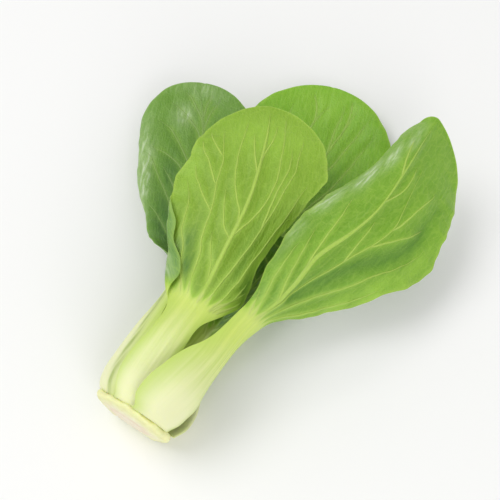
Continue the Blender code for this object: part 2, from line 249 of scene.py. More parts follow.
# %% Draw a smooth line through a few points
def through(knots, values, at):
    """Values at any places, on smooth curves through the values at a few knots."""
    knots, values, at = (np.asarray(a, float) for a in (knots, values, at))
    slopes = np.gradient(values, knots, axis=0)
    i = np.clip(np.searchsorted(knots, at, side="right") - 1, 0, len(knots) - 2)
    step = (knots[i + 1] - knots[i])[:, None]
    u = np.clip((at - knots[i])[:, None] / step, 0, 1)
    start, end = values[i], values[i + 1]
    return ((1 + 2 * u) * (1 - u) ** 2 * start + u * (1 - u) ** 2 * step * slopes[i]
            + u * u * (3 - 2 * u) * end - u * u * (1 - u) * step * slopes[i + 1])


def head_point(along, radius, azimuth):
    """A point of the lying head, from how far along its axis, how far off it and which way round."""
    tilt = math.radians(HEAD_TILT)
    turned = math.radians(azimuth)
    axis = np.array([math.cos(tilt), 0, math.sin(tilt)])
    up = np.array([-math.sin(tilt), 0, math.cos(tilt)])
    out = up * math.cos(turned) + np.array([0, -math.sin(turned), 0])
    return np.array([0, 0, CUT_HEIGHT]) + along * axis + radius * out


LINE_POINTS = 500


def middle_line(leaf):
    """The length along a leaf, the points of its middle line, and the azimuth its back faces."""
    bulb = leaf["bulb"]
    azimuths = [leaf["azimuth"] + leaf["drift"] * (row[0] / bulb[-1][0]) ** 2 for row in bulb]
    points = [head_point(row[0], row[1], azimuth) for row, azimuth in zip(bulb, azimuths)]
    facings = [azimuth + leaf["overlap"] for azimuth in azimuths]
    points += [np.array(row[:3], float) for row in leaf["path"]]
    facings += [row[3] for row in leaf["path"]]
    chords = np.linalg.norm(np.diff(points, axis=0), axis=1)
    knots = np.concatenate([[0], np.cumsum(chords)])
    rows = through(knots, np.column_stack([points, facings]), np.linspace(0, knots[-1], LINE_POINTS))
    arc = np.concatenate([[0], np.cumsum(np.linalg.norm(np.diff(rows[:, :3], axis=0), axis=1))])
    return arc, rows[:, :3], rows[:, 3]


for leaf_name, leaf in LEAVES.items():
    print(leaf_name, "is", round(middle_line(leaf)[0][-1]), "mm along its middle")

# %% [markdown]
# ## The veins
# A midrib runs to the tip, and side veins leave it at a narrow angle, run up beside it and bend out to
# the margin. They could be a texture, but real ones stand up from the back of the leaf and catch the
# light, so each vein is a line in the flattened leaf. A line is a row of points: how far along the
# leaf, and how far across from -1 to 1. The first line of each leaf is its midrib.

# %% Lay out the veins
VEINS = {
    "leaf_front": [
        ((20, 0.0), (46, 0.0), (62, 0.0), (86, -0.02), (112, 0.0), (135, 0.02), (148, 0.04),
         (158, 0.06)),
        ((16, -0.34), (44, -0.32), (65, -0.30), (85, -0.38), (98, -0.42), (113, -0.46), (132, -0.55),
         (146, -0.70)),
        ((97, -0.42), (103, -0.57), (112, -0.70), (122, -0.86)),
        ((112, -0.46), (121, -0.63), (130, -0.81), (137, -0.91)),
        ((129, -0.54), (136, -0.72), (143, -0.88)),
        ((30, -0.62), (50, -0.54), (61, -0.48), (70, -0.58), (80, -0.66), (91, -0.71), (100, -0.76),
         (112, -0.84)),
        ((94, -0.01), (102, -0.07), (108, -0.16), (120, -0.28), (130, -0.32), (144, -0.33),
         (152, -0.36)),
        ((88, -0.03), (93, -0.18), (102, -0.28), (112, -0.33)),
        ((66, -0.02), (74, -0.11), (80, -0.20), (88, -0.28)),
        ((122, 0.0), (134, -0.11), (145, -0.18)),
        ((128, 0.01), (135, 0.06), (142, 0.14), (151, 0.22)),
        ((90, 0.0), (95, 0.10), (100, 0.21), (109, 0.31), (120, 0.33), (130, 0.29), (147, 0.34),
         (156, 0.46)),
        ((16, 0.30), (40, 0.30), (59, 0.23), (68, 0.24), (80, 0.39), (91, 0.50), (104, 0.53),
         (122, 0.52), (136, 0.56), (145, 0.66)),
        ((98, 0.52), (110, 0.43), (124, 0.42), (138, 0.46)),
        ((26, 0.60), (46, 0.58), (57, 0.52), (66, 0.52), (76, 0.66), (88, 0.80), (98, 0.84),
         (110, 0.82), (124, 0.80)),
        ((34, 0.82), (50, 0.78), (58, 0.66), (66, 0.74), (74, 0.86)),
        ((56, 0.78), (61, 0.86), (66, 0.92)),
        ((54, 0.56), (60, 0.62), (66, 0.78), (70, 0.93)),
    ],
    "leaf_right": [
        ((20, -0.05), (50, -0.04), (73, -0.02), (86, -0.03), (95, -0.09), (103, -0.13), (112, -0.08),
         (122, 0.0), (135, 0.03), (149, 0.02), (164, -0.01), (180, -0.05), (197, -0.05)),
        ((95, -0.10), (102, -0.20), (109, -0.27), (117, -0.34), (126, -0.39), (136, -0.46)),
        ((20, 0.30), (50, 0.24), (68, 0.08), (81, 0.12), (94, 0.18), (104, 0.23), (113, 0.26),
         (127, 0.30), (140, 0.31), (150, 0.28), (175, 0.20)),
        ((112, 0.26), (124, 0.17), (136, 0.11)),
        ((126, 0.30), (140, 0.45), (153, 0.66)),
        ((139, 0.31), (154, 0.42), (171, 0.57)),
        ((30, 0.62), (52, 0.56), (62, 0.46), (70, 0.41), (80, 0.44), (90, 0.49), (101, 0.57),
         (115, 0.66), (130, 0.71), (148, 0.78)),
        ((54, 0.76), (66, 0.72), (78, 0.80), (90, 0.84), (104, 0.87), (118, 0.91)),
        ((20, -0.34), (46, -0.32), (62, -0.30), (72, -0.52), (82, -0.62), (92, -0.65), (102, -0.64)),
        ((36, -0.62), (54, -0.50), (62, -0.46), (69, -0.74), (75, -0.88)),
        ((160, 0.0), (172, -0.20), (184, -0.34)),
        ((144, 0.02), (158, 0.14), (172, 0.12)),
        ((76, -0.02), (86, -0.26), (98, -0.42), (112, -0.60)),
    ],
    "leaf_left": [
        ((20, 0.0), (60, 0.02), (84, 0.0), (100, -0.05), (117, -0.09), (137, -0.12), (153, -0.14),
         (167, -0.08), (178, 0.04)),
        ((76, 0.02), (88, 0.18), (106, 0.33), (122, 0.54), (134, 0.74), (138, 0.92)),
        ((70, 0.06), (78, 0.20), (86, 0.40), (96, 0.64), (106, 0.86)),
        ((118, -0.08), (126, 0.05), (133, 0.22), (138, 0.45), (140, 0.64), (141, 0.86)),
        ((128, -0.10), (134, 0.02), (141, 0.15), (149, 0.31), (155, 0.46), (158, 0.68)),
        ((142, -0.13), (150, -0.10), (156, -0.03), (162, 0.14), (167, 0.36), (170, 0.62)),
        ((156, -0.13), (163, -0.08), (169, 0.04), (175, 0.24), (178, 0.50)),
        ((152, -0.14), (160, -0.17), (168, -0.26), (176, -0.50)),
        ((163, -0.10), (172, -0.16), (178, -0.30)),
        ((136, -0.12), (146, -0.24), (158, -0.40), (167, -0.62)),
        ((98, -0.05), (112, -0.26), (128, -0.46), (142, -0.74)),
        ((100, 0.0), (110, 0.14), (122, 0.32), (130, 0.50)),
    ],
    "leaf_back": [
        ((20, 0.0), (80, 0.06), (108, 0.14), (121, 0.16), (134, 0.13), (146, 0.07), (159, -0.01),
         (171, -0.11), (183, -0.24), (195, -0.44), (202, -0.66)),
        ((140, 0.12), (152, 0.19), (163, 0.21), (175, 0.19), (185, 0.17), (194, 0.08), (202, -0.06)),
        ((120, 0.18), (140, 0.42), (162, 0.51), (177, 0.50), (189, 0.51), (197, 0.56)),
        ((130, 0.12), (144, -0.12), (155, -0.30), (165, -0.42), (177, -0.57), (190, -0.80)),
        ((170, -0.12), (178, -0.15), (189, -0.20), (201, -0.35)),
        ((184, -0.26), (192, -0.36), (201, -0.49), (205, -0.60)),
        ((150, 0.02), (158, -0.08), (166, -0.22), (178, -0.37), (190, -0.58), (198, -0.82)),
        ((184, 0.17), (192, 0.14), (200, 0.22), (205, 0.40)),
        ((100, 0.12), (120, -0.20), (136, -0.44), (150, -0.70)),
        ((108, 0.16), (128, 0.44), (150, 0.70), (168, 0.86)),
    ],
}
print("veins:", {name: len(lines) for name, lines in VEINS.items()})

# %% [markdown]
# ## Veins of the covered leaves
# The leaf underneath and the young leaves are mostly covered, and a regular pattern is enough for them.
# Drawing each line would be the other way, but side veins at even steps, to the left and to the right
# by turns, look right on a leaf that only shows its edge.

# %% Repeat a side vein along a leaf
VEIN_STEPS = {"leaf_under": (62, 112, 6, 36), "leaf_inner_upper": (58, 106, 6, 32),
              "leaf_inner_lower": (58, 98, 5, 30), "leaf_heart_large": (38, 66, 5, 20),
              "leaf_heart_small": (38, 62, 5, 18)}


def regular_veins(name, first, last, count, rise):
    """A midrib, and pairs of side veins from the first place to the last, each rising as far."""
    length = middle_line(LEAVES[name])[0][-1]
    lines = [((14, 0.0), (length * 0.5, 0.0), (length - 3, 0.0))]
    for k in range(count):
        swing = 0.92 - 0.10 * k / count
        for hand in (-1, 1):
            start = first + (last - first) * k / (count - 1) + 2.5 * hand
            reach = min(rise, length - start - 4)
            lines.append([(start + reach * t ** 1.15, hand * swing * t ** 0.8)
                          for t in (0, 0.12, 0.35, 0.65, 1)])
    return lines


for leaf_name, steps in VEIN_STEPS.items():
    VEINS[leaf_name] = regular_veins(leaf_name, *steps)
    print(leaf_name, "has", len(VEINS[leaf_name]), "veins")

# %% [markdown]
# ## Rolled margins
# A soft margin seldom lies flat. The front leaf's left margin is folded over onto its back beside the
# neck, and one margin of the left leaf and of the leaf behind rolls down, out of sight. A bend modifier
# would turn the whole leaf, so each roll is written down: on which side it is, how tight, and how wide
# at places along the leaf.

# %% Say which margins roll
ROLLS = {
    "leaf_front": dict(hand=0, radius=0.8, width=((50, 0), (57, 4), (64, 8.5), (70, 7.5), (77, 4.4),
                                                  (83, 5.6), (90, 3.4), (99, 0))),
    "leaf_left": dict(hand=1, radius=6.0, width=((78, 0), (90, 4), (120, 6.5), (150, 6.5), (170, 4),
                                                 (183, 1))),
    "leaf_back": dict(hand=0, radius=5.0, width=((110, 0), (140, 4), (180, 5), (205, 1))),
}
print("rolled:", {name: max(width for place, width in roll["width"]) for name, roll in ROLLS.items()})

# %% [markdown]
# ## Soft steps and soft hills
# Nothing on a leaf begins sharply. Two small functions give every change its softness: a slope from
# nothing to all, and a hill that falls off to both sides. A third gives directions a length of one.

# %% Make the soft functions
def smooth(low, high, values):
    """0 below low, 1 above high, and an even slope between."""
    u = np.clip((np.asarray(values, float) - low) / (high - low), 0, 1)
    return u * u * (3 - 2 * u)


def hill(distance, width):
    """1 at no distance, and nearly nothing at twice the width."""
    return np.exp(-(distance / width) ** 2)


def unit(vectors):
    return vectors / np.linalg.norm(vectors, axis=1)[:, None]


print("halfway up the slope:", float(smooth(0, 1, 0.5)))
print("one width from the hilltop:", round(float(hill(1, 1)), 2))

# %% [markdown]
# ## The frame of a leaf
# At every place along its middle line a leaf has a direction ahead, one out of its back and one to its
# side. At the cut every leaf ends square to the head's axis, so there the direction ahead is the axis,
# and it turns into the line's own a little higher. A curve's own tilt could do this less exactly.

# %% Give the middle line its directions
SQUARE_LENGTH = 16.0


def leaf_form(name):
    """What every point of a leaf needs: its middle line with directions, widths and bends."""
    leaf = LEAVES[name]
    arc, middle, facing = middle_line(leaf)
    square = np.clip(1 - arc / SQUARE_LENGTH, 0, 1)[:, None]
    ahead = unit(np.gradient(middle, arc, axis=0))
    ahead = unit(ahead * (1 - square) + (head_point(1, 0, 0) - head_point(0, 0, 0)) * square)
    turned = np.radians(facing)
    out = np.column_stack([0 * turned, -np.sin(turned), np.cos(turned)])
    out = unit(out - (out * ahead).sum(1)[:, None] * ahead)
    bulb = np.array(leaf["bulb"], float)
    scale = np.array([1, *leaf["width"]])
    outline = np.vstack([bulb[:, [0, 2, 3]] * scale, leaf["outline"]])
    curls = np.vstack([bulb[:, [0, 4, 5]] * scale, leaf["curl"]])
    return dict(leaf, arc=arc, lines=np.hstack([middle, out, np.cross(ahead, out)]), outline=outline,
                curls=curls, widest=outline[-1, 0], length=arc[-1], roll=ROLLS.get(name), veins=VEINS[name])


print("leaf_front is widest", leaf_form("leaf_front")["widest"], "mm from its base")

# %% [markdown]
# ## The outline of a leaf
# The two halves of a leaf have their own widths. Past its widest place each is drawn in along a quarter
# ellipse, so the tip is round, and the margin is a little uneven, as on any real leaf.

# %% Measure half a leaf
NECK_LENGTH = 24.0
UNEVENNESS = 0.007


def blade_share(form, along):
    """0 on the stalk, 1 on the blade, and between them in the neck."""
    return smooth(form["neck"] - NECK_LENGTH / 2, form["neck"] + NECK_LENGTH / 2, along)


def width_of(form, along, hand):
    """Half the leaf's width to one side, the part of it that is rolled, and how far it is drawn in."""
    end = np.clip((along - form["widest"]) / (form["length"] - form["widest"]), 0, 1)
    drawn_in = np.sqrt(1 - end ** 2)
    halves = through(form["outline"][:, 0], form["outline"][:, 1:], np.minimum(along, form["widest"]))
    half = np.where(hand == 0, halves[:, 0], halves[:, 1]) * drawn_in
    uneven = np.sin(along / 2.9 + 2 * hand) + 0.6 * np.sin(along / 1.27 + hand)
    half = half * (1 + UNEVENNESS * blade_share(form, along) * drawn_in * uneven)
    rolled = np.zeros_like(along)
    if form["roll"]:
        knots = np.array(form["roll"]["width"], float)
        here = (along > knots[0, 0]) & (along < knots[-1, 0]) & (hand == form["roll"]["hand"])
        rolled[here] = np.clip(through(knots[:, 0], knots[:, 1:], along[here])[:, 0], 0, None)
        rolled = np.minimum(rolled * drawn_in ** 0.5, 0.6 * half)
    return half, rolled, drawn_in


left_half = width_of(leaf_form("leaf_front"), np.array([100.0]), np.array([0]))[0][0]
print("leaf_front is", round(float(left_half), 1), "mm wide to the left at 100 mm")

# %% [markdown]
# ## The shape across a leaf
# Across, a leaf bends round in an arc, and a rolled margin adds a tighter arc at the end. A lattice
# could bend it too, but with arcs no part of the leaf is stretched, as in a real one.

# %% Bend a leaf
TIGHTEST_CURL = 5.0
LEAST_BEND = 0.001


def bend_leaf(form, along, across):
    """Place and outward direction of the leaf's smooth back, where across runs from -1 to 1."""
    hand = (across >= 0).astype(int)
    sign = np.where(hand == 0, -1.0, 1.0)[:, None]
    lines = np.column_stack([np.interp(along, form["arc"], line) for line in form["lines"].T])
    middle, out, side = lines[:, :3], lines[:, 3:6], lines[:, 6:] * sign
    half, rolled, drawn_in = width_of(form, along, hand)
    curls = form["curls"]
    bends = np.radians(through(curls[:, 0], curls[:, 1:], np.minimum(along, curls[-1, 0])))
    bend = np.where(hand == 0, bends[:, 0], bends[:, 1])
    bend = np.clip(bend, LEAST_BEND, np.maximum(half / TIGHTEST_CURL, LEAST_BEND))

    # the part that isn't rolled lies on one arc
    tight = form["roll"]["radius"] if form["roll"] else 1.0
    total = half + rolled - tight * np.sin(np.minimum(rolled / tight, math.pi / 2))
    distance = np.abs(across) * total
    held = np.minimum(distance, total - rolled)
    radius = (half / bend)[:, None]
    angle = held[:, None] / np.maximum(radius, 1e-6)
    tangent = side * np.cos(angle) - out * np.sin(angle)
    normal = out * np.cos(angle) + side * np.sin(angle)
    place = middle + side * radius * np.sin(angle) + out * radius * (np.cos(angle) - 1)

    # the roll turns half round at most, and what is left of it lies straight
    curled = np.minimum((distance - held) / tight, math.pi)[:, None]
    straight = (distance - held)[:, None] - tight * curled
    place = place + tangent * (tight * np.sin(curled) - straight) + normal * tight * (1 - np.cos(curled))
    normal = normal * np.cos(curled) - tangent * np.sin(curled)
    return place, normal, out, total, drawn_in


tip = bend_leaf(leaf_form("leaf_right"), np.array([190.0]), np.array([0.0]))[0][0] + HEAD_SHIFT
print("leaf_right near its tip:", [round(float(c)) for c in tip], "mm")

# %% [markdown]
# ## The way to the nearest vein
# The pleats, the veins' pale colour and the neck's green all depend on how far a point is from a vein.
# A nearest-point search on the finished mesh would mix up leaves that touch, so the distance is
# measured in the flattened leaf, where each leaf is alone.

# %% Measure the way to the nearest vein
FAR_AWAY = 40.0
SEARCH_REACH = 9.0
END_FADE = 3.5                         # a vein's far end counts as this much farther away


def vein_line(form, line, steps_per_point):
    """A vein as closely spaced points in the flattened leaf, in millimetres."""
    line = np.array(line, float)
    fine = through(np.arange(len(line)), line, np.linspace(0, len(line) - 1, steps_per_point * len(line)))
    total = bend_leaf(form, fine[:, 0], fine[:, 1])[3]
    return np.column_stack([fine[:, 0], fine[:, 1] * total])


def nearest_vein(form, along, aside):
    """Distance to the nearest vein, growing again towards a vein's far end."""
    nearest = np.full_like(along, FAR_AWAY)
    here = np.column_stack([along, aside])
    for line in form["veins"]:
        points = vein_line(form, line, 4)
        close = ((here > points.min(0) - SEARCH_REACH) & (here < points.max(0) + SEARCH_REACH)).all(1)
        spots = here[close]
        best = np.full(len(spots), FAR_AWAY)
        place = np.zeros(len(spots))
        for k, (a, b) in enumerate(zip(points, points[1:])):
            share = np.clip(((spots - a) @ (b - a)) / max((b - a) @ (b - a), 1e-9), 0, 1)
            gap = np.linalg.norm(spots - a - share[:, None] * (b - a), axis=1)
            nearer = gap < best
            best[nearer] = gap[nearer]
            place[nearer] = (k + share[nearer]) / (len(points) - 1)
        best = best + END_FADE * smooth(0.75, 1.0, place)
        nearest[close] = np.minimum(nearest[close], best)
    return nearest


way = nearest_vein(leaf_form("leaf_front"), np.array([100.0]), np.array([-10.0]))[0]
print("leaf_front, 100 mm along and 10 mm to the left:", round(float(way), 1), "mm from a vein")

# %% [markdown]
# ## Pleats and a fold
# The veins are tight and the tissue between them is slack, so it sinks away from the back and each
# vein lies on a crest. The right leaf is also creased along its blade, and the crease is one more line
# that the back sinks towards. A bump in the finish would be quicker, but it would vanish at the leaf's
# edge and wouldn't shade its neighbours.

# %% Sink the tissue between the veins
PLEAT_DEPTH = 0.85
PLEAT_WIDTH = 3.4
FOLDS = {"leaf_right": dict(depth=1.7, width=4.5, line=((84, 0.20), (104, 0.33), (115, 0.43), (126, 0.54),
                                                        (148, 0.65), (168, 0.72)))}


def pleats(name, form, along, across, aside, held):
    """The way to the nearest vein, how far the back sinks, and how near a point is to a fold."""
    nearest = nearest_vein(form, along, aside)
    sunk = PLEAT_DEPTH * (1 - hill(nearest, PLEAT_WIDTH)) * held * (1 - across ** 6)
    crease = np.zeros_like(along)
    if name in FOLDS:
        fold = FOLDS[name]
        crease = hill(nearest_vein(dict(form, veins=[fold["line"]]), along, aside), fold["width"]) * held
        sunk = sunk + fold["depth"] * crease
    return nearest, sunk, crease


print("pleats", PLEAT_DEPTH, "mm deep, folds on", sorted(FOLDS))

# %% [markdown]
# ## Patches of painted shade, painted light and wax
# A blade isn't one green. Painted shade darkens it where a fold or a neighbour shades it, painted light
# brightens it where it faces the light and on the bulbs, and pale wax with a painted sheen lies along
# some margins. Each patch is a soft oval in the flattened leaf. Painting them by hand would do too, but
# written down they can be read and changed.

# %% Write down the patches
# each row: the place along and aside, the reach along and aside, and the strength
PATCHES = {
    # painted shade, where a fold or a neighbour shades the leaf
    "deep": {
        "leaf_front": ((74, -18, 10, 3.5, 1.0), (67, -14, 8, 3.5, 1.0), (73, 17, 8, 4, 0.6),
                       (84, 9, 18, 3, 0.4), (12, 10, 14, 1.2, 0.5), (32, 9.5, 14, 1.2, 0.5)),
        "leaf_left": ((92, 9, 26, 6, 1.0), (124, 9, 16, 5, 0.8), (8, 9.6, 12, 1.5, 0.9),
                      (24, 7.4, 12, 1.4, 0.9), (40, 5.2, 10, 1.6, 0.9), (50, 4, 8, 2.4, 1.0)),
        "leaf_back": ((156, -8, 14, 14, 0.35),)},
    # painted light, where the leaf faces the light, and painted highlights on the bulbs
    "light": {
        "leaf_front": ((144, 2, 14, 26, 0.6), (92, 17, 14, 4, 0.9), (118, -30, 20, 5, 0.5),
                       (7, -2, 9, 6, 0.9), (28, -1, 20, 5, 0.3)),
        "leaf_right": ((96, 26, 12, 5, 0.6), (116, 31, 14, 5, 0.6), (136, 37, 16, 5, 0.5),
                       (92, -11, 10, 4, 0.4), (10, -2, 11, 9, 0.9)),
        "leaf_left": ((20, 1, 36, 6, 0.9),),
        "leaf_back": ((198, 4, 10, 16, 0.3), (10, -12, 20, 7, 1.0))},
    # wax, with a painted sheen and a painted glint along some margins
    "wax_and_sheen": {
        "leaf_right": ((104, -18, 14, 4, 0.4), (127, -19, 14, 3.5, 0.6), (152, -14, 12, 3.5, 0.8),
                       (168, -9, 10, 3, 0.8), (184, -5, 10, 3, 0.6)),
        "leaf_left": ((118, 21, 26, 3.5, 0.8), (140, 24, 20, 3, 0.6), (164, 7, 8, 6, 0.6),
                      (181, 0, 7, 14, 0.4)),
        "leaf_front": ((68, -21, 12, 3, 0.6),)},
}


def patches_at(kind, name, along, aside):
    """How strongly each point lies in any of a leaf's patches of one kind."""
    total = np.zeros_like(along)
    for middle, across, reach, width, strength in PATCHES[kind].get(name, ()):
        total = np.maximum(total, strength * hill(along - middle, reach) * hill(aside - across, width))
    return total


print("patches:", {kind: sum(len(rows) for rows in table.values()) for kind, table in PATCHES.items()})

# %% [markdown]
# ## What the finish needs to know
# The finish follows the leaf: how much of a point is vein, how much is blade, how far it is towards the
# tip and the side, and which patches of painted shade, painted light and wax it lies in. At the neck the
# green reaches farther down between the veins than beside them. Kept on the points, these facts stay
# with the leaf however it is bent.

# %% Note the facts of each point
FACTS = ("vein", "blade", "green", "onward", "side", "deep", "light", "wax_and_sheen")
CREASE_SHADE = 0.62
# painted light on the crests beside the veins, partly the tissue's own paleness there
VEIN_LIGHT = 0.27


def leaf_facts(name, along, across, aside, blade, held, onward, nearest, crease):
    """The facts of each point by name, in the order of FACTS."""
    beside_vein = hill(nearest, 1.7) * (1 - onward) ** 2
    vein_width = 0.45 + 1.3 * (1 - onward) ** 4
    values = ((0.3 + 0.5 * (1 - onward) ** 2) * hill(nearest, vein_width) * blade,
              blade,
              smooth(0.10, 0.75, blade * (1.5 - beside_vein)),
              onward,
              np.abs(across),
              # painted shade, in the patches and along the fold's crease
              np.maximum(patches_at("deep", name, along, aside), CREASE_SHADE * crease),
              # painted light, in the patches and beside the veins
              np.maximum(patches_at("light", name, along, aside), VEIN_LIGHT * hill(nearest, 1.8) * held),
              # wax, with its painted sheen
              patches_at("wax_and_sheen", name, along, aside))
    return dict(zip(FACTS, values))


print(len(FACTS), "facts for each point:", ", ".join(FACTS))

# %% [markdown]
# ## The thickness of a leaf
# The stalk is thick in the middle and thin at its edges, the blade is thin, and its margin is thinner
# and waved. Fine fibres run up the stalk's back. A few smooth functions of along and across, added up,
# give all of it.

# %% Say how thick, waved and ribbed a leaf is
MARGIN_THICKNESS = 1.2
BLADE_THICKNESS = 0.7
WAVE_LENGTH = 41.0
RIB_HEIGHT = 1.8
RIB_WIDTH = 3.6


def thickness(form, along, v, blade):
    """Thickness at each point, where v is its share of the way to the margin."""
    stalk = MARGIN_THICKNESS + (form["stalk"] - MARGIN_THICKNESS) * (1 - v * v) ** 0.8
    stalk = stalk * (1 - 0.35 * np.clip((along - 20) / 45, 0, 1)) - 0.5 * v ** 14
    return (BLADE_THICKNESS - 0.25 * v ** 10) * blade + stalk * (1 - blade)


def margin_waves(along, hand):
    return (np.sin(2 * np.pi * along / WAVE_LENGTH + 2 * hand) + 0.35 * np.sin(along / 2.4 + 1 + 3 * hand)
            + 0.16 * np.sin(along / 1.15 + hand))


def fibre_relief(along, aside, v, blade):
    """Height of the narrow and the broad fibres on a stalk, and none on the blade."""
    narrow = 0.05 * np.sin(aside * 3.1 + 0.8 * np.sin(along / 9))
    broad = 0.09 * np.sin(aside * 1.3 + 1 + 0.5 * np.sin(along / 13))
    return (narrow + broad) * (1 - blade) * smooth(6, 40, along) * (1 - v * v)


print("a blade is", BLADE_THICKNESS, "mm thick, and its midrib", RIB_HEIGHT, "mm higher at the neck")

# %% [markdown]
# ## The two faces of a leaf
# The back carries the midrib's broad swelling, the pleats and the fibres, and the face lies one
# thickness beneath. Where a blade lies on the ground it is pressed flat, so both faces are lifted by as
# much as the back would go under.

# %% Work out a leaf's two faces
LOWEST_BLADE = 0.02
LOWEST_FACE = 0.3


def leaf_faces(name, form, along, across):
    """Points of the back and of the face, and what the finish needs to know at each of them."""
    shape = along.shape
    along, across = along.ravel(), across.ravel()
    place, normal, out, total, drawn_in = bend_leaf(form, along, across)
    aside, v = across * total, np.abs(across)
    blade = blade_share(form, along)
    held = blade * np.sqrt(drawn_in)
    onward = np.clip((along - form["neck"]) / (form["length"] - form["neck"]), 0, 1)
    wave = margin_waves(along, (across >= 0).astype(int))
    place = place + out * (form["wave"] * blade * drawn_in * v ** 3 * wave)[:, None]

    nearest, sunk, crease = pleats(name, form, along, across, aside, held)
    slender = 1 - 0.85 * onward
    swelling = hill(aside, RIB_WIDTH * slender + 0.4)
    raised = RIB_HEIGHT * slender * swelling * held - sunk + fibre_relief(along, aside, v, blade)
    lowered = thickness(form, along, v, blade) + sunk - 0.3 * swelling * blade
    outer = place + normal * raised[:, None]
    inner = place - normal * lowered[:, None]

    flattened = blade > 0.5
    lift = np.maximum(LOWEST_BLADE - outer[:, 2], 0) * flattened
    outer[:, 2] = np.maximum(outer[:, 2] + lift, 0)
    inner[:, 2] = np.maximum(inner[:, 2] + lift, LOWEST_FACE * flattened)
    facts = leaf_facts(name, along, across, aside, blade, held, onward, nearest, crease)
    facts.update(flat=np.column_stack([aside, along]) / 100, normal=normal)
    facts = {key: values.reshape(*shape, *values.shape[1:]) for key, values in facts.items()}
    return (outer + HEAD_SHIFT).reshape(*shape, 3), (inner + HEAD_SHIFT).reshape(*shape, 3), facts


back, face, known = leaf_faces("leaf_front", leaf_form("leaf_front"), np.array([20.0]), np.array([0.0]))
print("leaf_front's stalk is", round(float(np.linalg.norm(back - face)), 1), "mm thick at 20 mm")

# %% [markdown]
# ## From a grid to a leaf
# A flat grid is made with as many cells as the leaf needs, extruded once, so that it is closed all the
# way round, and then every point is sent to its place on the back or on the face. What is known about
# each point travels with it as an attribute, and the flattened leaf becomes the UV map, so the finish
# can follow the leaf however it curls.

# %% Make a closed grid
def closed_grid(rows, columns):
    """A flat grid with a back and a face, where each point knows its row, column and face."""
    work = bmesh.new()
    bmesh.ops.create_grid(work, x_segments=rows - 1, y_segments=columns - 1, size=0.5)
    row_of, column_of, face_of = (work.verts.layers.int.new(key) for key in ("row", "column", "face"))
    for vert in work.verts:
        vert[row_of] = round((vert.co.x + 0.5) * (rows - 1))
        vert[column_of] = round((vert.co.y + 0.5) * (columns - 1))
    raised = bmesh.ops.extrude_face_region(work, geom=work.faces[:])
    for vert in (g for g in raised["geom"] if isinstance(g, bmesh.types.BMVert)):
        vert[face_of] = 1
    return work


trial = closed_grid(3, 3)
print("a grid of 3 by 3 points, closed, has", len(trial.verts), "points and", len(trial.faces), "faces")
trial.free()

# %% [markdown]
# ## The skin of a leaf
# The rows stand evenly up to the widest place and close up round the tip, and the columns are closest
# at the margins, where a leaf bends most. Numbers for thousands of points go into the mesh in one step
# each, which is far quicker than point by point.

# %% Make a leaf's skin
ROW_STEP = 1.15
CAP_ROWS = 44
UV_LAYER = "flattened"


def make_skin(name, form, columns):
    """The closed grid sent to the leaf's two faces, with its facts and its UV map."""
    low = np.linspace(0, form["widest"], round(form["widest"] / ROW_STEP), endpoint=False)
    quarter = np.linspace(0, np.pi / 2, CAP_ROWS)
    along = np.concatenate([low, form["widest"] + (form["length"] - form["widest"]) * np.sin(quarter)])
    even = np.linspace(-1, 1, columns)
    across = 0.6 * even + 0.4 * np.sin(even * np.pi / 2)
    outer, inner, facts = leaf_faces(name, form, along[:, None] + 0 * across, 0 * along[:, None] + across)

    work = closed_grid(len(along), columns)
    mesh = bpy.data.meshes.new(name + "_skin")
    work.to_mesh(mesh)
    work.free()
    row, column, face = (np.empty(len(mesh.vertices), np.int32) for _ in range(3))
    for key, values in (("row", row), ("column", column), ("face", face)):
        mesh.attributes[key].data.foreach_get("value", values)
        mesh.attributes.remove(mesh.attributes[key])
    places = np.where(face[:, None] == 1, inner[row, column], outer[row, column]) * MM
    mesh.vertices.foreach_set("co", places.ravel())
    noted = {key: facts[key][row, column] for key in FACTS}
    for key, values in dict(noted, inside=face).items():
        mesh.attributes.new(key, "FLOAT", "POINT").data.foreach_set("value", values.astype(np.float32))
    corner = np.empty(len(mesh.loops), np.int32)
    mesh.loops.foreach_get("vertex_index", corner)
    flat = facts["flat"][row, column][corner].astype(np.float32)
    mesh.uv_layers.new(name=UV_LAYER).data.foreach_set("uv", flat.ravel())
    return mesh


print("a row every", ROW_STEP, "mm, and", CAP_ROWS, "rows round the tip")

# %% [markdown]
# ## Fine vein cords
# A side vein is less than a millimetre wide, finer than the skin's cells. So each gets a cord of its
# own: a grid rolled into a flattened tube that is sunk halfway into the leaf and tapers to a point at
# both ends. On the back it stands up, and on the face it barely shows. Cords begin at the neck, because
# a stalk is smooth.

# %% Lay a cord along a vein
CORD_SIDES = 8
MIDRIB_CORD = (1.3, 0.28, 0.60)        # half width at the start and at the end, height
SIDE_CORD = (0.50, 0.27, 0.40)
CORD_START = 7                         # how far before the neck's middle a cord begins
CORD_EDGE = 0.985                      # how far out to the margin it may reach
FACE_HEIGHT = 0.35                     # share of its height that a cord has on the leaf's face


def cord_form(form, line, size):
    """The places along and across of a cord's grid, its rows' shares of the way, and its heights."""
    points = vein_line(form, line, 14 if size == MIDRIB_CORD else 9)
    points = points[points[:, 0] > form["neck"] - CORD_START]
    share = np.linspace(0, 1, len(points))
    ahead = unit(np.gradient(points, axis=0))
    aside = np.column_stack([-ahead[:, 1], ahead[:, 0]])
    taper = np.minimum(1, np.minimum(share * 10, (1 - share) * 5)) ** 0.5
    width = (size[0] + (size[1] - size[0]) * share) * taper
    around = np.linspace(0, 2 * np.pi, CORD_SIDES + 1)
    spots = points[:, None, :] + aside[:, None, :] * (width[:, None] * np.cos(around))[..., None]
    along, across = spots[..., 0], spots[..., 1]
    total = bend_leaf(form, along.ravel(), np.sign(across.ravel()) * 0.5)[3].reshape(along.shape)
    across = np.clip(across / np.maximum(total, 0.5), -CORD_EDGE, CORD_EDGE)
    height = (size[2] * taper * (1 - 0.35 * share))[:, None] * np.sin(around)
    return along, across, share, height


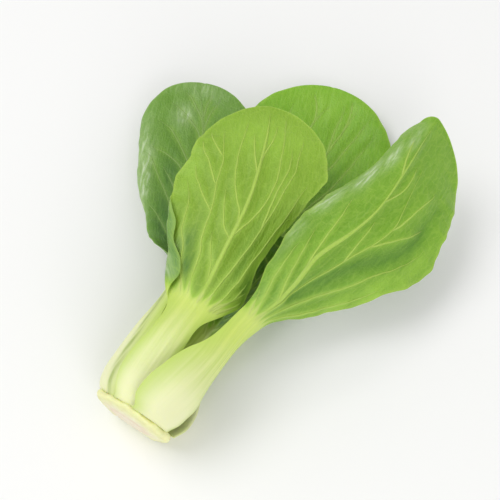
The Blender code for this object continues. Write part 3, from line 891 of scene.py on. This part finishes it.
def add_cord(work, layers, name, form, line, size, on_face):
    """One cord's grid, sent to its place with all its facts."""
    along, across, share, height = cord_form(form, line, size)
    outer, inner, facts = leaf_faces(name, form, along, across)
    height = height * (0.12 + 0.88 * facts["blade"])
    if on_face:
        places = inner - facts["normal"] * (FACE_HEIGHT * height)[..., None]
    else:
        places = outer + facts["normal"] * height[..., None]
    places[..., 2] = np.maximum(places[..., 2], 0)
    last = len(share) - 1
    grid = bmesh.ops.create_grid(work, x_segments=last, y_segments=CORD_SIDES, size=0.5)["verts"]
    for vert in grid:
        spot = (round((vert.co.x + 0.5) * last), round((vert.co.y + 0.5) * CORD_SIDES))
        vert.co = Vector(places[spot]) * MM
        for key in FACTS:
            vert[layers[key]] = facts[key][spot]
        vert[layers["vein"]] = facts["blade"][spot] * (1 - 0.3 * share[spot[0]])
        vert[layers["inside"]] = float(on_face)
        for loop in vert.link_loops:
            loop[layers["flat"]].uv = facts["flat"][spot]


print("a side vein's cord is", 2 * SIDE_CORD[0], "mm wide at its start")

# %% [markdown]
# ## The nine leaves
# Skin and cords are joined in one bmesh. Each cord's seam and tips are closed by merging the points that
# fall together, and the normals are worked out again after that, so that they all face outwards.

# %% Make the leaves
COLUMN_COUNTS = {"leaf_front": 129, "leaf_right": 121, "leaf_left": 97, "leaf_back": 97, "leaf_under": 65,
                 "leaf_inner_upper": 57, "leaf_inner_lower": 53, "leaf_heart_large": 45,
                 "leaf_heart_small": 41}
SHARP_EDGE = math.radians(60)


def make_leaf(name, columns):
    form = leaf_form(name)
    mesh = make_skin(name, form, columns)
    work = bmesh.new()
    work.from_mesh(mesh)
    layers = {key: work.verts.layers.float[key] for key in (*FACTS, "inside")}
    layers["flat"] = work.loops.layers.uv[UV_LAYER]
    for k, line in enumerate(form["veins"]):
        for on_face in (False, True):
            add_cord(work, layers, name, form, line, SIDE_CORD if k else MIDRIB_CORD, on_face)
    bmesh.ops.remove_doubles(work, verts=work.verts[:], dist=2e-6)
    bmesh.ops.recalc_face_normals(work, faces=work.faces[:])
    work.to_mesh(mesh)
    work.free()
    mesh.shade_smooth()
    mesh.set_sharp_from_angle(angle=SHARP_EDGE)
    piece = add_object(name + "_skin", mesh)
    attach(piece, "root")
    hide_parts(name)
    return piece


skins = {name: make_leaf(name, columns) for name, columns in COLUMN_COUNTS.items()}
for name, piece in skins.items():
    print(name, sum(len(p.vertices) - 2 for p in piece.data.polygons), "triangles")

# %% [markdown]
# ## Nodes in short
# A finish needs dozens of nodes. A few helpers each add one node and give back its output, so that the
# lines below read like the mixing they do: one colour over another, by a share between 0 and 1.

# %% Make the node helpers
def node(tree, kind, links=(), **settings):
    """A node with its settings, and its inputs as values or as links from other sockets."""
    made = tree.nodes.new(kind)
    for key, value in settings.items():
        setattr(made, key, value)
    for socket, value in links:
        if isinstance(value, bpy.types.NodeSocket):
            tree.links.new(value, made.inputs[socket])
        else:
            made.inputs[socket].default_value = value
    return made


def mixed(tree, share, *colours):
    """One colour turning into another as share goes from 0 to 1."""
    first, second = ((*c, 1) if isinstance(c, tuple) else c for c in colours)
    links = [(0, share), (6, first), (7, second)]
    return node(tree, "ShaderNodeMix", links, data_type="RGBA").outputs[2]


def times(tree, first, second):
    return node(tree, "ShaderNodeMath", [(0, first), (1, second)], operation="MULTIPLY").outputs[0]


def plus(tree, first, second):
    return node(tree, "ShaderNodeMath", [(0, first), (1, second)], operation="ADD").outputs[0]


def level(tree, value, low, high, to_low=0.0, to_high=1.0):
    """The value's way from low to high, as a way from one level to another."""
    return node(tree, "ShaderNodeMapRange", [("Value", value), ("From Min", low), ("From Max", high),
                                             ("To Min", to_low), ("To Max", to_high)]).outputs[0]


def noise(tree, place, scale, detail):
    return node(tree, "ShaderNodeTexNoise", [("Vector", place), ("Scale", scale), ("Detail", detail)])


def fact(tree, name):
    return node(tree, "ShaderNodeAttribute", attribute_name=name).outputs["Fac"]


print("node helpers:", [f.__name__ for f in (node, mixed, times, plus, level, noise, fact)])

# %% [markdown]
# ## Shared patterns
# Close up, a blade shows soft clouds, fine streaks that run along it and a grain of tiny cells, and a
# stalk shows fibres. Every leaf uses them, so each is a node group that reads the flattened leaf's UV
# map and puts out a value. A wave texture would be too even, so the streaks and the fibres are noise,
# drawn out along the leaf.

# %% Build the streaked patterns
def start_group(name):
    """A group with one output, and the flattened leaf's places in it."""
    group = bpy.data.node_groups.new(name, "ShaderNodeTree")
    group.interface.new_socket("Level", in_out="OUTPUT", socket_type="NodeSocketFloat")
    return group, node(group, "ShaderNodeUVMap", uv_map=UV_LAYER).outputs[0]


def end_group(group, value):
    group.links.new(value, group.nodes.new("NodeGroupOutput").inputs["Level"])
    return group


def squeezed(tree, place, across, along):
    return node(tree, "ShaderNodeVectorMath", [(0, place), (1, (across, along, 0))],
                operation="MULTIPLY").outputs[0]


def squeezed_noise(name, along, scale, low, high):
    """A group that puts out noise on the flattened leaf, drawn out along it."""
    group, flat = start_group(name)
    cloud = noise(group, squeezed(group, flat, 1.0, along), scale, 3.0).outputs["Fac"]
    return end_group(group, level(group, cloud, low, high))


PATTERNS = {"cloud": squeezed_noise("soft_clouds", 0.7, 9.0, 0.3, 0.7),
            "streak": squeezed_noise("blade_streaks", 0.16, 85.0, 0.3, 0.7),
            "speck": squeezed_noise("leaf_grain", 0.8, 130.0, 0.35, 0.65),
            "fibre": squeezed_noise("stalk_fibres", 0.04, 48.0, 0.38, 0.68)}
print("patterns:", [group.name for group in PATTERNS.values()])

# %% [markdown]
# ## The net of small veins
# Between the side veins lies a net of still smaller ones. Modelled, it would take millions of faces. The
# borders between cells of a Voronoi texture make such a net, and a little noise added to the places
# bends its straight threads.

# %% Build the net
THREAD_WIDTH = 0.09
THREAD_BEND = 0.03


def vein_net(name):
    """A group that puts out 1 on the threads and 0 inside the cells."""
    group, flat = start_group(name)
    bent = mixed(group, THREAD_BEND, flat, noise(group, flat, 30.0, 2.0).outputs["Color"])
    place = squeezed(group, bent, 1.0, 0.55)
    cells = node(group, "ShaderNodeTexVoronoi", [("Vector", place), ("Scale", 34.0)],
                 feature="DISTANCE_TO_EDGE")
    return end_group(group, level(group, cells.outputs["Distance"], 0.0, THREAD_WIDTH, 1.0, 0.0))


PATTERNS["thread"] = vein_net("vein_net")
print("groups:", [group.name for group in bpy.data.node_groups])

# %% [markdown]
# ## A stalk's colour
# A stalk is nearly white where it grew covered, turns yellow-green as it rises, and is greener along its
# fibres. It is greener towards its edges too, partly its own colour and partly painted shade where the
# round stalk turns away, and painted highlights whiten it where the light patches lie. A plain colour
# ramp would make rings of it, so the height, the distance from the middle and the fibres each mix in
# their own share.

# %% Mix the stalk's colour
STALK_WHITE = (0.86, 0.88, 0.52)
STALK_YELLOW = (0.65, 0.77, 0.17)
# green of the fibres, and of the edges, where it is partly painted shade
STALK_EDGE = (0.50, 0.67, 0.11)


def stalk_colour(tree, along, known, pattern):
    colour = mixed(tree, level(tree, along, 0.10, 0.52), STALK_WHITE, STALK_YELLOW)
    # greener towards the edges: the stalk's own colour and painted shade
    colour = mixed(tree, level(tree, known["side"], 0.45, 1.0, 0.0, 0.8), colour, STALK_EDGE)
    fibre = times(tree, pattern["fibre"], level(tree, along, 0.06, 0.40))
    colour = mixed(tree, times(tree, fibre, 0.65), colour, STALK_EDGE)
    # painted highlight: the light patches whiten the stalk
    return mixed(tree, known["light"], colour, STALK_WHITE)


print("a stalk from", STALK_WHITE, "to", STALK_YELLOW)

# %% [markdown]
# ## A blade's colour
# The back of a blade is pale and dull, and its face is deeper. Both are lighter towards the tip. The
# clouds, streaks, specks and the net are mixed in weakly. Then comes the painted light, and last the
# pale wax with a painted sheen over it, which breaks up into whitish streaks of painted glint where the
# wax patches are strongest.

# %% Mix the blade's colour
# painted light, wax with a painted sheen, and a painted glint
PAINTED_LIGHT_GREEN = (0.36, 0.60, 0.06)
WAX_AND_SHEEN_GREEN = (0.46, 0.61, 0.29)
GLINT_WHITE = (0.76, 0.84, 0.66)
SHADE = 0.84                           # how much darker a blade is near its neck


def blade_colour(tree, known, pattern, back_green, face_green, vein_green):
    tone = plus(tree, times(tree, known["onward"], 0.6), times(tree, pattern["cloud"], 0.4))
    back, face = (mixed(tree, tone, tuple(SHADE * c for c in green), green)
                  for green in (back_green, face_green))
    colour = mixed(tree, known["inside"], back, face)
    fine = plus(tree, times(tree, pattern["streak"], 0.16), times(tree, pattern["speck"], 0.07))
    colour = mixed(tree, fine, colour, vein_green)
    colour = mixed(tree, times(tree, pattern["thread"], 0.16), colour, vein_green)
    # painted light
    colour = mixed(tree, known["light"], colour, PAINTED_LIGHT_GREEN)
    # wax with a painted sheen, broken up by clouds and streaks
    streaky = level(tree, pattern["streak"], 0.0, 1.0, 0.5, 1.3)
    patchy = times(tree, plus(tree, pattern["cloud"], 0.4), streaky)
    colour = mixed(tree, times(tree, known["wax_and_sheen"], patchy), colour, WAX_AND_SHEEN_GREEN)
    # painted glint where the wax patches are strongest
    glint = times(tree, level(tree, known["wax_and_sheen"], 0.3, 0.9), level(tree, pattern["streak"], 0.45, 0.95))
    return mixed(tree, times(tree, glint, 0.75), colour, GLINT_WHITE)


print("wax from", WAX_AND_SHEEN_GREEN, "to", GLINT_WHITE)

# %% [markdown]
# ## Neck, shade, veins and rim
# The stalk's colour turns into the blade's through a bright green at the neck. Over that lies the painted
# shade of the patches, broken by the streaks, then the veins, which keep the stalk's pale colour, and a
# thin pale rim along the blade's margin, which is a painted highlight.

# %% Put the leaf's colours together
# colour of the painted shade on a stalk
STALK_SHADE_GREEN = (0.26, 0.38, 0.03)
NECK_GREEN = (0.34, 0.56, 0.05)


def leaf_colour(tree, known, pattern, back_green, face_green, vein_green):
    flat = node(tree, "ShaderNodeUVMap", uv_map=UV_LAYER).outputs[0]
    along = node(tree, "ShaderNodeSeparateXYZ", [(0, flat)]).outputs["Y"]
    green = known["green"]
    colour = stalk_colour(tree, along, known, pattern)
    colour = mixed(tree, level(tree, green, 0.0, 0.3), colour, NECK_GREEN)
    blade = blade_colour(tree, known, pattern, back_green, face_green, vein_green)
    colour = mixed(tree, level(tree, green, 0.2, 1.0), colour, blade)
    # painted shade: its colour goes from the stalk's to a darker blade green
    deep_green = mixed(tree, green, STALK_SHADE_GREEN, (0.3 * back_green[0], 0.48 * back_green[1], 0.02))
    broken = level(tree, pattern["streak"], 0.0, 1.0, 0.95, 0.6)
    colour = mixed(tree, times(tree, known["deep"], broken), colour, deep_green)
    colour = mixed(tree, times(tree, known["vein"], 0.75), colour, vein_green)
    # a painted highlight along the blade's margin
    rim = times(tree, level(tree, known["side"], 0.93, 1.0), times(tree, known["blade"], 0.3))
    return mixed(tree, rim, colour, vein_green)


print("the neck is", NECK_GREEN)

# %% [markdown]
# ## The finish of a leaf
# The waxy face is smoother than the back. Streaks, specks and the net give the blade a faint relief, and
# the fibres give the stalk one. Light goes a little way into the tissue, which a small subsurface
# weight gives, and a weak coat stands for the wax. One function makes all the finishes.

# %% Make a leaf's finish
LEAF_PLAIN = {"Subsurface Weight": 0.25, "Subsurface Radius": (0.9, 1.0, 0.35), "Subsurface Scale": 0.002,
              "Specular IOR Level": 0.4, "Coat Weight": 0.10, "Coat Roughness": 0.3}
BACK_ROUGHNESS = 0.52
FACE_ROUGHNESS = 0.40


def leaf_finish(name, back_green, face_green, vein_green, shine):
    finish, tree, shader = new_finish(name, LEAF_PLAIN)
    known = {key: fact(tree, key) for key in (*FACTS, "inside")}
    pattern = {key: node(tree, "ShaderNodeGroup", node_tree=group).outputs["Level"]
               for key, group in PATTERNS.items()}
    colour = leaf_colour(tree, known, pattern, back_green, face_green, vein_green)
    rough = level(tree, known["inside"], 0.0, 1.0, BACK_ROUGHNESS - shine, FACE_ROUGHNESS - shine)
    rough = plus(tree, rough, times(tree, pattern["cloud"], 0.08))
    fine = plus(tree, times(tree, pattern["thread"], 0.5), times(tree, pattern["speck"], 0.5))
    height = times(tree, plus(tree, pattern["streak"], fine), known["blade"])
    height = plus(tree, height, times(tree, pattern["fibre"], 0.3))
    bump = node(tree, "ShaderNodeBump", [("Strength", 0.4), ("Distance", 0.0004), ("Height", height)])
    tree.links.new(colour, shader.inputs["Base Color"])
    tree.links.new(rough, shader.inputs["Roughness"])
    tree.links.new(bump.outputs[0], shader.inputs["Normal"])
    return finish


print("a back's roughness is", BACK_ROUGHNESS, "and a face's", FACE_ROUGHNESS)

# %% [markdown]
# ## Each leaf's greens
# The leaves differ. The front leaf and the right leaf show their pale backs, the left leaf and the one
# behind show their faces, and the heart leaves are deepest, a painted shade for the inside of the head.
# Each finish has the green of the back, of the face and of the veins, and how much smoother than the
# others it is.

# %% Finish the leaves
PALE_VEIN = (0.50, 0.70, 0.12)
DEEP_VEIN = (0.30, 0.50, 0.11)
BRIGHT_VEIN = (0.42, 0.66, 0.10)
FINISHES = (
    (("leaf_front",), "outer_leaf", "front_leaf_green",
     (0.205, 0.38, 0.012), (0.15, 0.33, 0.06), PALE_VEIN, 0.0),
    (("leaf_right",), "outer_leaf", "right_leaf_green",
     (0.165, 0.375, 0.010), (0.11, 0.26, 0.03), PALE_VEIN, 0.10),
    (("leaf_left",), "dark_leaf", "left_leaf_green",
     (0.20, 0.38, 0.05), (0.145, 0.32, 0.025), DEEP_VEIN, 0.08),
    (("leaf_back",), "dark_leaf", "back_leaf_green",
     (0.20, 0.40, 0.02), (0.205, 0.46, 0.010), BRIGHT_VEIN, 0.0),
    (("leaf_under",), "outer_leaf", "under_leaf_green",
     (0.20, 0.38, 0.04), (0.11, 0.26, 0.03), PALE_VEIN, 0.0),
    (("leaf_inner_upper", "leaf_inner_lower"), "inner_leaf", "young_leaf_green",
     (0.22, 0.40, 0.05), (0.14, 0.30, 0.04), PALE_VEIN, 0.0),
    # deepest greens: painted shade for the inside of the head
    (("leaf_heart_large", "leaf_heart_small"), "inner_leaf", "heart_leaf_green",
     (0.10, 0.24, 0.03), (0.08, 0.20, 0.03), DEEP_VEIN, 0.0),
)
for names, slot, *look in FINISHES:
    finish = leaf_finish(*look)
    for name in names:
        skins[name].data.materials.append(finish)
    print(finish.name, "on", ", ".join(names))

# %% [markdown]
# ## The stem
# Under the leaves is a short stem, cut across with a knife. The cut shows a pale pith, a ring of
# harder tissue, and a thin collar outside it where older leaves were pulled off. A profile is spun
# round the head's axis. A cylinder with bevels would miss the shallow rings of the cut.

# %% Turn the stem
# each point: how far along the axis, and how far off it
STEM_PROFILE = ((-0.5, 0.0), (-0.55, 3.0), (-0.4, 6.0), (-0.62, 8.6), (-0.5, 10.5), (-0.45, 13.0),
                (-0.62, 15.0), (-0.35, 16.6), (-0.30, 17.6), (-0.05, 18.6), (0.3, 19.3), (0.9, 19.5),
                (1.5, 19.1), (1.9, 18.4), (2.2, 17.0), (2.4, 12.6), (5.4, 8.6), (10.2, 5.6),
                (13.9, 2.2), (14.1, 0.0))
STEM_STEPS = 144

foot = head_point(0, 0, 0)
stem_axis = head_point(1, 0, 0) - foot
work = bmesh.new()
ring = [work.verts.new(head_point(along, radius, 0)) for along, radius in STEM_PROFILE]
edges = [work.edges.new(pair) for pair in zip(ring, ring[1:])]
bmesh.ops.subdivide_edges(work, edges=edges, cuts=2)
bmesh.ops.spin(work, geom=work.verts[:] + work.edges[:], cent=foot, axis=stem_axis,
               angle=2 * math.pi, steps=STEM_STEPS, use_merge=True)
bmesh.ops.remove_doubles(work, verts=work.verts[:], dist=0.001)
print("stem:", len(work.faces), "faces")

# %% [markdown]
# ## The cut
# A knife leaves no perfect plane. The middle of the cut stands out a little, its lower edge more, the
# collar is scalloped where the leaves' bases were, and the whole is faintly rippled and not quite
# round. Sine waves round the axis do that better than noise, because each wave can be chosen.

# %% Shape the cut
CUT_DOME = 1.6                         # how far the middle of the cut stands out
CUT_SLANT = 2.6                        # how much farther the cut's lower edge does
CUT_DEPTH = 1.9                        # how deep dome and slant reach
LUMPS = ((0.45, 3, 0.5), (0.45, 7, 2), (0.22, 17, 0))              # height, count round the stem, start
SCALLOPS = ((0.55, 4, 1), (0.40, 9, 0), (0.16, 23, 1))
TALLEST_SCALLOP = 0.3


def waves_round(waves, around):
    """A few sine waves round the stem, added up."""
    return sum(height * math.sin(count * around + start) for height, count, start in waves)


up = head_point(0, 1, 0) - foot
left = np.cross(stem_axis, up)
radius_of = work.verts.layers.float.new("ring")
for vert in work.verts:
    place = np.array(vert.co) - foot
    along, rise, aside = place @ stem_axis, place @ up, place @ left
    radius, around = math.hypot(rise, aside), math.atan2(aside, rise)
    reach = radius / CUT_RADIUS
    vert[radius_of] = reach
    rim = min(1, reach ** 4) * (along < 2.3)
    outward = max(0.0, min(1.0, (CUT_DEPTH - along) / CUT_DEPTH))
    bulge = outward * (CUT_DOME * (1 - reach ** 2) + CUT_SLANT * (1 - rise / CUT_RADIUS) / 2)
    ripples = 0.10 * math.sin(rise * 1.7 + 1) * math.sin(aside * 1.3)
    ripples = ripples + 0.06 * math.sin(rise * 4.1) * (along < 0.5)
    scallop = min(waves_round(SCALLOPS, around), TALLEST_SCALLOP)
    sideways = (place - along * stem_axis) / max(radius, 1) * waves_round(LUMPS, around) * rim
    moved = place + sideways + stem_axis * (ripples * (along < 1.5) + rim * scallop - bulge)
    vert.co = Vector((moved + foot + HEAD_SHIFT) * MM)
    vert.co.z = max(vert.co.z, 0.0)
print("the cut is", round(2 * CUT_RADIUS, 1), "mm across")

# %% [markdown]
# ## The stem as a piece
# Spinning can turn a shape inside out, so its normals are worked out again before it is kept. The piece
# stands for the plain stem, and rides on the head as the leaves do.

# %% Keep the stem
bmesh.ops.recalc_face_normals(work, faces=work.faces[:])
stem_mesh = bpy.data.meshes.new("cut_stem")
work.to_mesh(stem_mesh)
work.free()
stem_mesh.shade_smooth()
stem = add_object("cut_stem", stem_mesh)
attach(stem, "root")
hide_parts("stem")
print("stem:", len(stem_mesh.vertices), "points")

# %% [markdown]
# ## The cut face's finish
# Pith is cream with a breath of pink where it has dried, the ring round it is yellower, and the collar
# outside is green-yellow. The distance from the middle, kept as an attribute, drives a colour ramp,
# and noise breaks the rings up.

# %% Colour the stem
RINGS = ((0.0, (0.90, 0.80, 0.62)), (0.30, (0.92, 0.84, 0.66)), (0.46, (0.88, 0.74, 0.56)),
         (0.60, (0.92, 0.88, 0.62)), (0.78, (0.90, 0.89, 0.54)), (0.90, (0.84, 0.86, 0.42)),
         (1.0, (0.90, 0.91, 0.46)))
SPECKLE_COLOUR = (0.66, 0.56, 0.30)
PITH_PLAIN = {"Subsurface Weight": 0.3, "Subsurface Radius": (1.0, 0.8, 0.5), "Subsurface Scale": 0.003}

cut_finish, tree, shader = new_finish("cut_pith", PITH_PLAIN)
place = node(tree, "ShaderNodeTexCoord").outputs["Object"]
pith_grain = noise(tree, place, 420.0, 4.0).outputs["Fac"]
patches = noise(tree, place, 90.0, 3.0).outputs["Fac"]
ring_place = plus(tree, fact(tree, "ring"), times(tree, plus(tree, patches, -0.5), 0.22))
rings = node(tree, "ShaderNodeValToRGB", [("Fac", ring_place)])
ramp = rings.color_ramp.elements
ramp[0].position, ramp[1].position = RINGS[0][0], RINGS[-1][0]
ramp[0].color, ramp[1].color = (*RINGS[0][1], 1), (*RINGS[-1][1], 1)
for position, colour in RINGS[1:-1]:
    ramp.new(position).color = (*colour, 1)
speckle = level(tree, pith_grain, 0.35, 0.7)
pith_colour = mixed(tree, times(tree, speckle, 0.25), rings.outputs["Color"], SPECKLE_COLOUR)
pith_bump = node(tree, "ShaderNodeBump", [("Strength", 0.5), ("Distance", 0.0003), ("Height", pith_grain)])
tree.links.new(pith_colour, shader.inputs["Base Color"])
tree.links.new(level(tree, speckle, 0.0, 1.0, 0.42, 0.6), shader.inputs["Roughness"])
tree.links.new(pith_bump.outputs[0], shader.inputs["Normal"])
stem_mesh.materials.append(cut_finish)
print("cut face finished with", len(RINGS), "rings")
